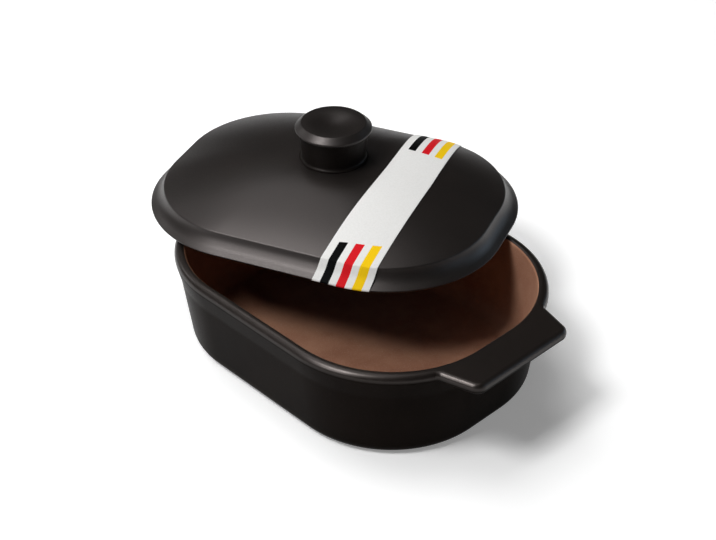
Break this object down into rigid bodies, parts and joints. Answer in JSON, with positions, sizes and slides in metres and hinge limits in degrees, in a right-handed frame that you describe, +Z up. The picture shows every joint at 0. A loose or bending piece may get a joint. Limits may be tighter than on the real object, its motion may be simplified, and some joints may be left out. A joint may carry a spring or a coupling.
{
  "type": "clay bread baker",
  "caption": "Oblong dark clay baking dish with flat end handles and a loose domed lid with a round knob and a paper band, for baking a loaf under cover.",
  "frame": {"origin": "middle of the dish's flat underside", "axes": "+Z up out of the dish, +X along the dish's length towards the uncovered handle"},
  "size_m": [0.3939, 0.2871, 0.1591],
  "materials": {
    "dish_clay": "matte black-brown fired clay outside, bare red-brown clay inside",
    "lid_clay": "matte black-brown fired clay",
    "knob_clay": "matte black-brown fired clay",
    "paper": "smooth white paper with plain black, red and yellow stripes at its ends"
  },
  "bodies": {
    "dish": {"baking_dish": "dish_clay"},
    "cover": {"lid": "lid_clay", "lid_knob": "knob_clay", "paper_band": "paper"}
  },
  "joints": [
    {"name": "lid_lift", "type": "slide", "parent": "dish", "child": "cover", "axis": [0, 0, 1], "range_m": [0, 0.15]}
  ]
}
